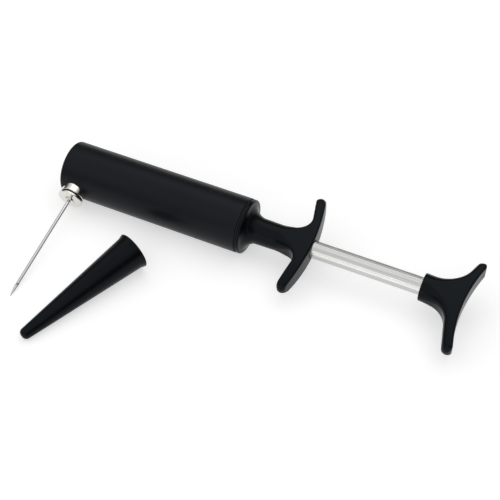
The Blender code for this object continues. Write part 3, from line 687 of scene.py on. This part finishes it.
def keep_slot_surfaces():
    """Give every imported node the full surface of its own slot."""
    for part in frame["record"]["subparts"]:
        node = frame["nodes"][part["node"]]
        node.data.materials.clear()
        node.data.materials.append(SURFACES[part["material_slot"]])


def make_barrel_shell():
    """The pump barrel with soft rims."""
    bore = BARREL_RADIUS - BARREL_WALL
    profile = rounded([(0.0, 0.0, 0.0), (0.0, BARREL_RADIUS, BARREL_EDGE),
                       (BARREL_LENGTH, BARREL_RADIUS, BARREL_RIM),
                       (BARREL_LENGTH, bore, BARREL_RIM), (BARREL_END_WALL, bore, 0.0),
                       (BARREL_END_WALL, 0.0, 0.0)])
    shell = new_object("barrel_shell", lathe(profile, BARREL_SIDES), along_barrel(0.0))
    port = lathe([(SPIGOT_END, 0.0), (SPIGOT_END, SPIGOT_RADIUS + FIT),
                  (NIPPLE_TOP, SPIGOT_RADIUS + FIT), (NIPPLE_TOP, 0.0)], NEEDLE_SIDES)
    act(shell, new_object("port", port, along_needle(0.0)), "DIFFERENCE")
    dress(shell, "barrel_black", "barrel_unit", "barrel")


def make_nipple_body():
    """The chrome nipple, hollow for the valve and the carrier's shank."""
    collar = rounded([(SPIGOT_END, 0.0, 0.0), (SPIGOT_END, NIPPLE_RADIUS, 0.0),
                      (NIPPLE_TOP, NIPPLE_RADIUS, NIPPLE_EDGE), (NIPPLE_TOP, 0.0, 0.0)])
    nipple = new_object("nipple_body", lathe(collar, ROUND_SIDES), along_needle(0.0))
    saddle = lathe([(-OVERRUN, 0.0), (-OVERRUN, SADDLE_RADIUS), (SADDLE_LENGTH, SADDLE_RADIUS),
                    (SADDLE_LENGTH, 0.0)], BARREL_SIDES)
    act(nipple, new_object("saddle", saddle, along_barrel(0.0)), "DIFFERENCE")
    spigot = lathe([(SPIGOT_END, 0.0), (SPIGOT_END, SPIGOT_RADIUS),
                    (SADDLE_RADIUS + OVERRUN, SPIGOT_RADIUS), (SADDLE_RADIUS + OVERRUN, 0.0)],
                   SPIGOT_SIDES)
    act(nipple, new_object("spigot", spigot, along_needle(0.0)), "UNION")
    counterbore = SHANK_RADIUS + FIT
    hollow = lathe([(SPIGOT_END - OVERRUN, 0.0), (SPIGOT_END - OVERRUN, SEAT_HOLE),
                    (CHAMBER_BASE, SEAT_HOLE), (CHAMBER_BASE, CHAMBER_RADIUS),
                    (SHANK_SEAT, CHAMBER_RADIUS), (SHANK_SEAT, counterbore),
                    (NIPPLE_TOP + OVERRUN, counterbore), (NIPPLE_TOP + OVERRUN, 0.0)],
                   SPIGOT_SIDES)
    act(nipple, new_object("hollow", hollow, along_needle(0.0)), "DIFFERENCE")
    dress(nipple, "bright_chrome", "barrel_unit", "nipple")


def make_carrier_flange():
    """The domed flange with its boss and shank."""
    bore = NEEDLE_RADIUS + FIT
    dome = []
    for step in range(1, DOME_STEPS):
        outward = 1 - step / DOME_STEPS
        dome.append((FLANGE_RIM + (DOME_TOP - FLANGE_RIM) * (1 - outward ** 2),
                     BOSS_RADIUS + (FLANGE_RADIUS - FLANGE_EDGE - BOSS_RADIUS) * outward))
    rim = rounded([(SHANK_END, POCKET_RADIUS, 0.0), (SHANK_END, SHANK_RADIUS, 0.0),
                   (FLANGE_BACK, SHANK_RADIUS, 0.0), (FLANGE_BACK, FLANGE_RADIUS, FLANGE_EDGE),
                   (FLANGE_RIM, FLANGE_RADIUS, FLANGE_EDGE), (*dome[0], 0.0)])
    boss = rounded([(*dome[-1], 0.0), (DOME_TOP, BOSS_RADIUS, 0.0),
                    (BOSS_TOP, BOSS_RADIUS, BOSS_EDGE), (BOSS_TOP, bore, 0.0),
                    (POCKET_FLOOR, bore, 0.0), (POCKET_FLOOR, POCKET_RADIUS, 0.0)])
    profile = rim + dome[1:-1] + boss
    carrier = new_object("carrier_flange", lathe(profile, ROUND_SIDES, closed=True),
                         along_needle(0.0))
    dress(carrier, "bright_chrome", "needle", "needle_carrier")


def point_profile(base):
    """The needle point's outside as (distance from the barrel's axis, radius)."""
    drop = NEEDLE_RADIUS - POINT_END_RADIUS
    return [(base + POINT_LENGTH * step / POINT_STEPS,
             NEEDLE_RADIUS - drop * (step / POINT_STEPS) ** 2) for step in range(POINT_STEPS + 1)]


def make_needle():
    """The hollow needle with its vent, and the solid point."""
    base = NEEDLE_REACH - POINT_LENGTH
    end = base - FIT
    profile = [(NEEDLE_START, NEEDLE_BORE), (NEEDLE_START, NEEDLE_RADIUS), (end, NEEDLE_RADIUS),
               (end, NEEDLE_BORE)]
    shaft = new_object("needle_shaft", lathe(profile, NEEDLE_SIDES, closed=True), along_needle(0.0))
    vent = lathe([(0.0, 0.0), (0.0, VENT_RADIUS), (NEEDLE_RADIUS + OVERRUN, VENT_RADIUS),
                  (NEEDLE_RADIUS + OVERRUN, 0.0)], VENT_SIDES)
    spot = Matrix.Translation((NEEDLE_FROM_END, VENT_FROM_POINT - NEEDLE_REACH, 0.0))
    act(shaft, new_object("vent", vent, OPENER @ spot @ Matrix.Rotation(VENT_SIDE, 4, "Y")),
        "DIFFERENCE")
    dress(shaft, "needle_steel", "needle", "needle_tube")
    outside = [(base - POINT_PLUG_LENGTH, 0.0), (base - POINT_PLUG_LENGTH, POINT_PLUG_RADIUS),
               (base, POINT_PLUG_RADIUS)] + point_profile(base) + [(NEEDLE_REACH, 0.0)]
    tip = new_object("needle_tip", lathe(outside, NEEDLE_SIDES), along_needle(0.0))
    dress(tip, "needle_steel", "needle", "needle_point")


def grip_parts():
    """The cap's turned profile and the outline of its wings, both from the cap's back."""
    shoulder = CAP_RADIUS - CAP_EDGE
    profile = [(-CAP_OVERLENGTH, CAP_RADIUS)]
    profile += arc(CAP_FLANGE_LENGTH - CAP_EDGE, shoulder, CAP_EDGE, RIGHT_ANGLE, 0.0,
                   CAP_EDGE_STEPS)
    for step in range(1, SHOULDER_STEPS + 1):
        angle = RIGHT_ANGLE * step / SHOULDER_STEPS
        profile.append((CAP_FLANGE_LENGTH + SHOULDER_LENGTH * (1 - math.cos(angle)),
                        shoulder - (shoulder - NECK_RADIUS) * math.sin(angle)))
    profile.append((NECK_LENGTH, NECK_RADIUS - NECK_SINK))
    outline = wing_outline(GRIP_ROOT, GRIP_FACE, 1, GRIP_FAR_WING, GRIP_NEAR_WING)
    return mirrored(profile), outline


def make_grip_body():
    """The moulded cap: plug, flange, neck and finger wings in one."""
    profile, outline = grip_parts()
    neck_end = GRIP_FAR_WING[2] - GRIP_FAR_WING[3]

    def field(points):
        along = points[:, 0] - CAP_X
        turned = polygon_distance(along, np.hypot(points[:, 1], points[:, 2]), profile)
        waist = np.interp(along, (GRIP_ROOT, neck_end), GRIP_WAISTS)
        behind = GRIP_FACE - along - points[:, 1] ** 2 / (2 * GRIP_FACE_RADIUS)
        wings = wing_distance(along, points[:, 1], points[:, 2], outline, waist, GRIP_DEPTHS,
                              GRIP_EDGES, behind, GRIP_CHANGE)
        return np.minimum(turned, wings)

    grip = moulded("grip_body", field, (CAP_X - CAP_OVERLENGTH, -GRIP_HALF_SPAN, -CAP_RADIUS),
                   (CAP_X + GRIP_FACE, GRIP_HALF_SPAN, CAP_RADIUS), OPENER)
    back = lathe([(-BACK_CUT_LENGTH, 0.0), (-BACK_CUT_LENGTH, BACK_CUT_RADIUS),
                  (0.0, BACK_CUT_RADIUS), (0.0, 0.0)], BACK_SIDES)
    act(grip, new_object("back", back, along_barrel(CAP_X)), "DIFFERENCE")
    plug = lathe(rounded([(-PLUG_LENGTH, 0.0, 0.0), (-PLUG_LENGTH, PLUG_RADIUS, PLUG_EDGE),
                          (OVERRUN, PLUG_RADIUS, 0.0), (OVERRUN, 0.0, 0.0)]), ROUND_SIDES)
    act(grip, new_object("plug", plug, along_barrel(CAP_X)), "UNION")
    ends = (-PLUG_LENGTH - OVERRUN, GRIP_FACE + OVERRUN)
    way = loft([fluted_ring(ROD_GAP, height) for height in ends])
    act(grip, new_object("way", way, along_barrel(CAP_X)), "DIFFERENCE")
    pocket = lathe([(-OVERRUN, 0.0), (-OVERRUN, BUSH_RADIUS + FIT),
                    (BUSH_LENGTH + FIT, BUSH_RADIUS + FIT), (BUSH_LENGTH + FIT, 0.0)],
                   POCKET_SIDES)
    act(grip, new_object("pocket", pocket, along_barrel(CAP_X - PLUG_LENGTH)), "DIFFERENCE")
    dress(grip, "moulded_black", "barrel_unit", "grip_cap")


def make_rod():
    """The grooved rod, bored at both ends."""
    length = ROD_END_X - ROD_X
    count = ROD_FLUTES * FLUTE_POINTS
    rings = [circle_ring(SCREW_HOLE, SCREW_HOLE_DEPTH, count), circle_ring(SCREW_HOLE, 0.0, count),
             fluted_ring(0.0, 0.0, ROD_CHAMFER), fluted_ring(0.0, ROD_CHAMFER)]
    rings += [fluted_ring(0.0, length * step / ROD_STEPS) for step in range(1, ROD_STEPS)]
    rings += [fluted_ring(0.0, length - ROD_CHAMFER), fluted_ring(0.0, length, ROD_CHAMFER),
              circle_ring(STUD_HOLE, length, count),
              circle_ring(STUD_HOLE, length - STUD_HOLE_DEPTH, count)]
    rod = new_object("rod_profile", loft(rings), along_barrel(ROD_X))
    dress(rod, "rod_aluminium", "plunger", "piston_rod")


def make_handle_body():
    """The moulded palm handle with its socket."""
    outline = wing_outline(HANDLE_ROOT, HANDLE_FACE, -1, HANDLE_FAR_WING, HANDLE_NEAR_WING)

    def field(points):
        along = points[:, 0] - HANDLE_X
        straight = leaned(along, points[:, 1], HANDLE_LEAN_PIVOT, HANDLE_LEAN)
        behind = HANDLE_FACE - straight[0] + straight[1] ** 2 / (2 * HANDLE_FACE_RADIUS)
        wings = wing_distance(*straight, points[:, 2], outline, SOCKET_RADIUS, HANDLE_DEPTHS,
                              HANDLE_EDGES, behind, HANDLE_CHANGE)
        return round_cut(wings, -along, SOCKET_EDGE)

    handle = moulded("handle_body", field, (HANDLE_X, -HANDLE_HALF_SPAN, -SOCKET_RADIUS),
                     (HANDLE_X + HANDLE_LENGTH, HANDLE_HALF_SPAN, SOCKET_RADIUS), OPENER)
    bore = lathe([(-OVERRUN, 0.0), (-OVERRUN, ROD_RADIUS + FIT), (SOCKET_DEPTH, ROD_RADIUS + FIT),
                  (SOCKET_DEPTH, STUD_HOLE), (SOCKET_DEPTH + STUD_IN_HANDLE, STUD_HOLE),
                  (SOCKET_DEPTH + STUD_IN_HANDLE, 0.0)], ROUND_SIDES)
    act(handle, new_object("bore", bore, along_barrel(HANDLE_X)), "DIFFERENCE")
    dress(handle, "moulded_black", "plunger", "push_handle")


def guard_place():
    """Where the guard lies: its closed end, its heading and the tilt that puts it on the table."""
    drop = (GUARD_LIP_RADIUS - GUARD_END_RADIUS) * GUARD_FACET
    tilt = math.atan2(drop, GUARD_TAPER_LENGTH)
    level = GUARD_END_RADIUS * GUARD_FACET * math.cos(tilt) - GUARD_END_ROUND * math.sin(tilt)
    level += TABLE_Z
    back = (GUARD_TAPER_LENGTH + GUARD_END_ROUND) * math.cos(tilt)
    start = Matrix.Translation((GUARD_MOUTH_X - back * math.cos(GUARD_HEADING),
                                GUARD_MOUTH_Y - back * math.sin(GUARD_HEADING), level))
    heading = Matrix.Rotation(GUARD_HEADING, 4, "Z")
    return start @ heading @ Matrix.Rotation(RIGHT_ANGLE - tilt, 4, "Y")


def make_guard_cone():
    """The conical guard with a flared lip and a rounded closed end."""
    lip = GUARD_LENGTH - GUARD_LIP_LENGTH
    slope = (GUARD_MOUTH_RADIUS - GUARD_END_RADIUS) / (lip - GUARD_END_ROUND)
    corner = GUARD_END_RADIUS - GUARD_END_ROUND * slope
    outside = rounded([(GUARD_END_INSET, 0.0, 0.0), (GUARD_END_INSET, corner, GUARD_END_FILLET),
                       (lip, GUARD_MOUTH_RADIUS, 0.0),
                       (GUARD_LENGTH, GUARD_LIP_RADIUS, GUARD_LIP_EDGE),
                       (GUARD_LENGTH, GUARD_LIP_RADIUS - GUARD_WALL, GUARD_MOUTH_EDGE),
                       (lip, GUARD_MOUTH_RADIUS - GUARD_WALL, 0.0),
                       (GUARD_END_WALL, GUARD_END_RADIUS - GUARD_WALL, 0.0),
                       (GUARD_END_WALL, 0.0, 0.0)])
    profile = [(height, radius * GUARD_FACET) for height, radius in outside]
    guard = new_object("guard_cone", lathe(profile, GUARD_SIDES), guard_place())
    dress(guard, "moulded_black", "guard", "needle_guard")


def seen_directly(tree):
    """1 for rays from the camera, off shiny metal or through glass, else 0."""
    path = tree.nodes.new("ShaderNodeLightPath")
    shiny = math_node(tree, "MAXIMUM", path.outputs["Is Camera Ray"], path.outputs["Is Glossy Ray"])
    return math_node(tree, "MAXIMUM", shiny, path.outputs["Is Transmission Ray"])


def make_world():
    """A pale dome whose lower parts behind and beside the opener give little light."""
    world = bpy.data.worlds.new("studio")
    bpy.context.scene.world = world
    world.use_nodes = True
    tree = world.node_tree
    background = tree.nodes["Background"]
    background.inputs["Color"].default_value = (1.0, 1.0, 1.0, 1.0)
    coords = tree.nodes.new("ShaderNodeTexCoord")
    split = tree.nodes.new("ShaderNodeSeparateXYZ")
    tree.links.new(coords.outputs["Generated"], split.inputs[0])
    x, y, z = split.outputs
    back_wall = math_node(tree, "MULTIPLY", ramp_node(tree, z, *BACK_HEIGHT),
                          ramp_node(tree, y, *BACK_WIDTH))
    left_wall = math_node(tree, "MULTIPLY", ramp_node(tree, z, *LEFT_HEIGHT),
                          ramp_node(tree, x, *LEFT_WIDTH))
    right_wall = math_node(tree, "MULTIPLY", ramp_node(tree, z, *RIGHT_HEIGHT),
                           ramp_node(tree, x, *RIGHT_WIDTH))
    walls = math_node(tree, "MAXIMUM", math_node(tree, "MAXIMUM", back_wall, left_wall),
                      right_wall)
    walls = math_node(tree, "MULTIPLY", walls, ramp_node(tree, z, *PALE_HORIZON))
    shade = math_node(tree, "MULTIPLY", walls, DOME_LEVEL - WALL_LEVEL)
    light = math_node(tree, "SUBTRACT", DOME_LEVEL, shade)
    tree.links.new(light, background.inputs["Strength"])


def make_floor():
    """A wide, plain white floor that is the background of every view as well."""
    bm = bmesh.new()
    corners = ((-FLOOR_HALF, -FLOOR_HALF), (FLOOR_HALF, -FLOOR_HALF), (FLOOR_HALF, FLOOR_HALF),
               (-FLOOR_HALF, FLOOR_HALF))
    bm.faces.new([bm.verts.new((x, y, TABLE_Z)) for x, y in corners])
    floor = new_object("floor", bm, Matrix.Identity(4))
    surface = bpy.data.materials.new("floor_white")
    surface.use_nodes = True
    tree = surface.node_tree
    shader = tree.nodes["Principled BSDF"]
    shader.inputs["Base Color"].default_value = (FLOOR_WHITE, FLOOR_WHITE, FLOOR_WHITE, 1.0)
    shader.inputs["Roughness"].default_value = FLOOR_ROUGHNESS
    shader.inputs["Specular IOR Level"].default_value = 0.0
    shader.inputs["Emission Color"].default_value = (1.0, 1.0, 1.0, 1.0)
    glow = math_node(tree, "MULTIPLY", seen_directly(tree), FLOOR_GLOW)
    tree.links.new(glow, shader.inputs["Emission Strength"])
    floor.data.materials.append(surface)


def make_light(name, place, target, size, power):
    """A soft rectangular lamp that faces a target."""
    lamp = bpy.data.lights.new(name, "AREA")
    lamp.shape = "RECTANGLE"
    lamp.size, lamp.size_y = size
    lamp.energy = power
    light = bpy.data.objects.new(name, lamp)
    light.location = place
    aim = Vector(target) - Vector(place)
    light.rotation_euler = aim.to_track_quat("-Z", "Y").to_euler()
    bpy.context.scene.collection.objects.link(light)


def make_studio():
    """Floor, world, lamps and camera."""
    make_world()
    make_floor()
    for name, lamp in LAMPS.items():
        make_light(name, *lamp)
    data = bpy.data.cameras.new("photo_camera")
    data.lens = CAMERA_LENS
    data.sensor_width = CAMERA_SENSOR
    data.sensor_fit = "HORIZONTAL"
    data.shift_y = CAMERA_SHIFT
    data.clip_start = CAMERA_NEAR
    camera = bpy.data.objects.new("photo_camera", data)
    camera.location = CAMERA_PLACE
    camera.rotation_euler = CAMERA_TURN
    bpy.context.scene.collection.objects.link(camera)
    bpy.context.scene.camera = camera
    bpy.context.scene.view_settings.view_transform = "Standard"


def build_scene():
    """Make the studio, the surfaces and every fine piece."""
    keep_slot_surfaces()
    make_studio()
    make_barrel_shell()
    make_nipple_body()
    make_carrier_flange()
    make_needle()
    make_grip_body()
    make_rod()
    make_handle_body()
    make_guard_cone()


build_scene()
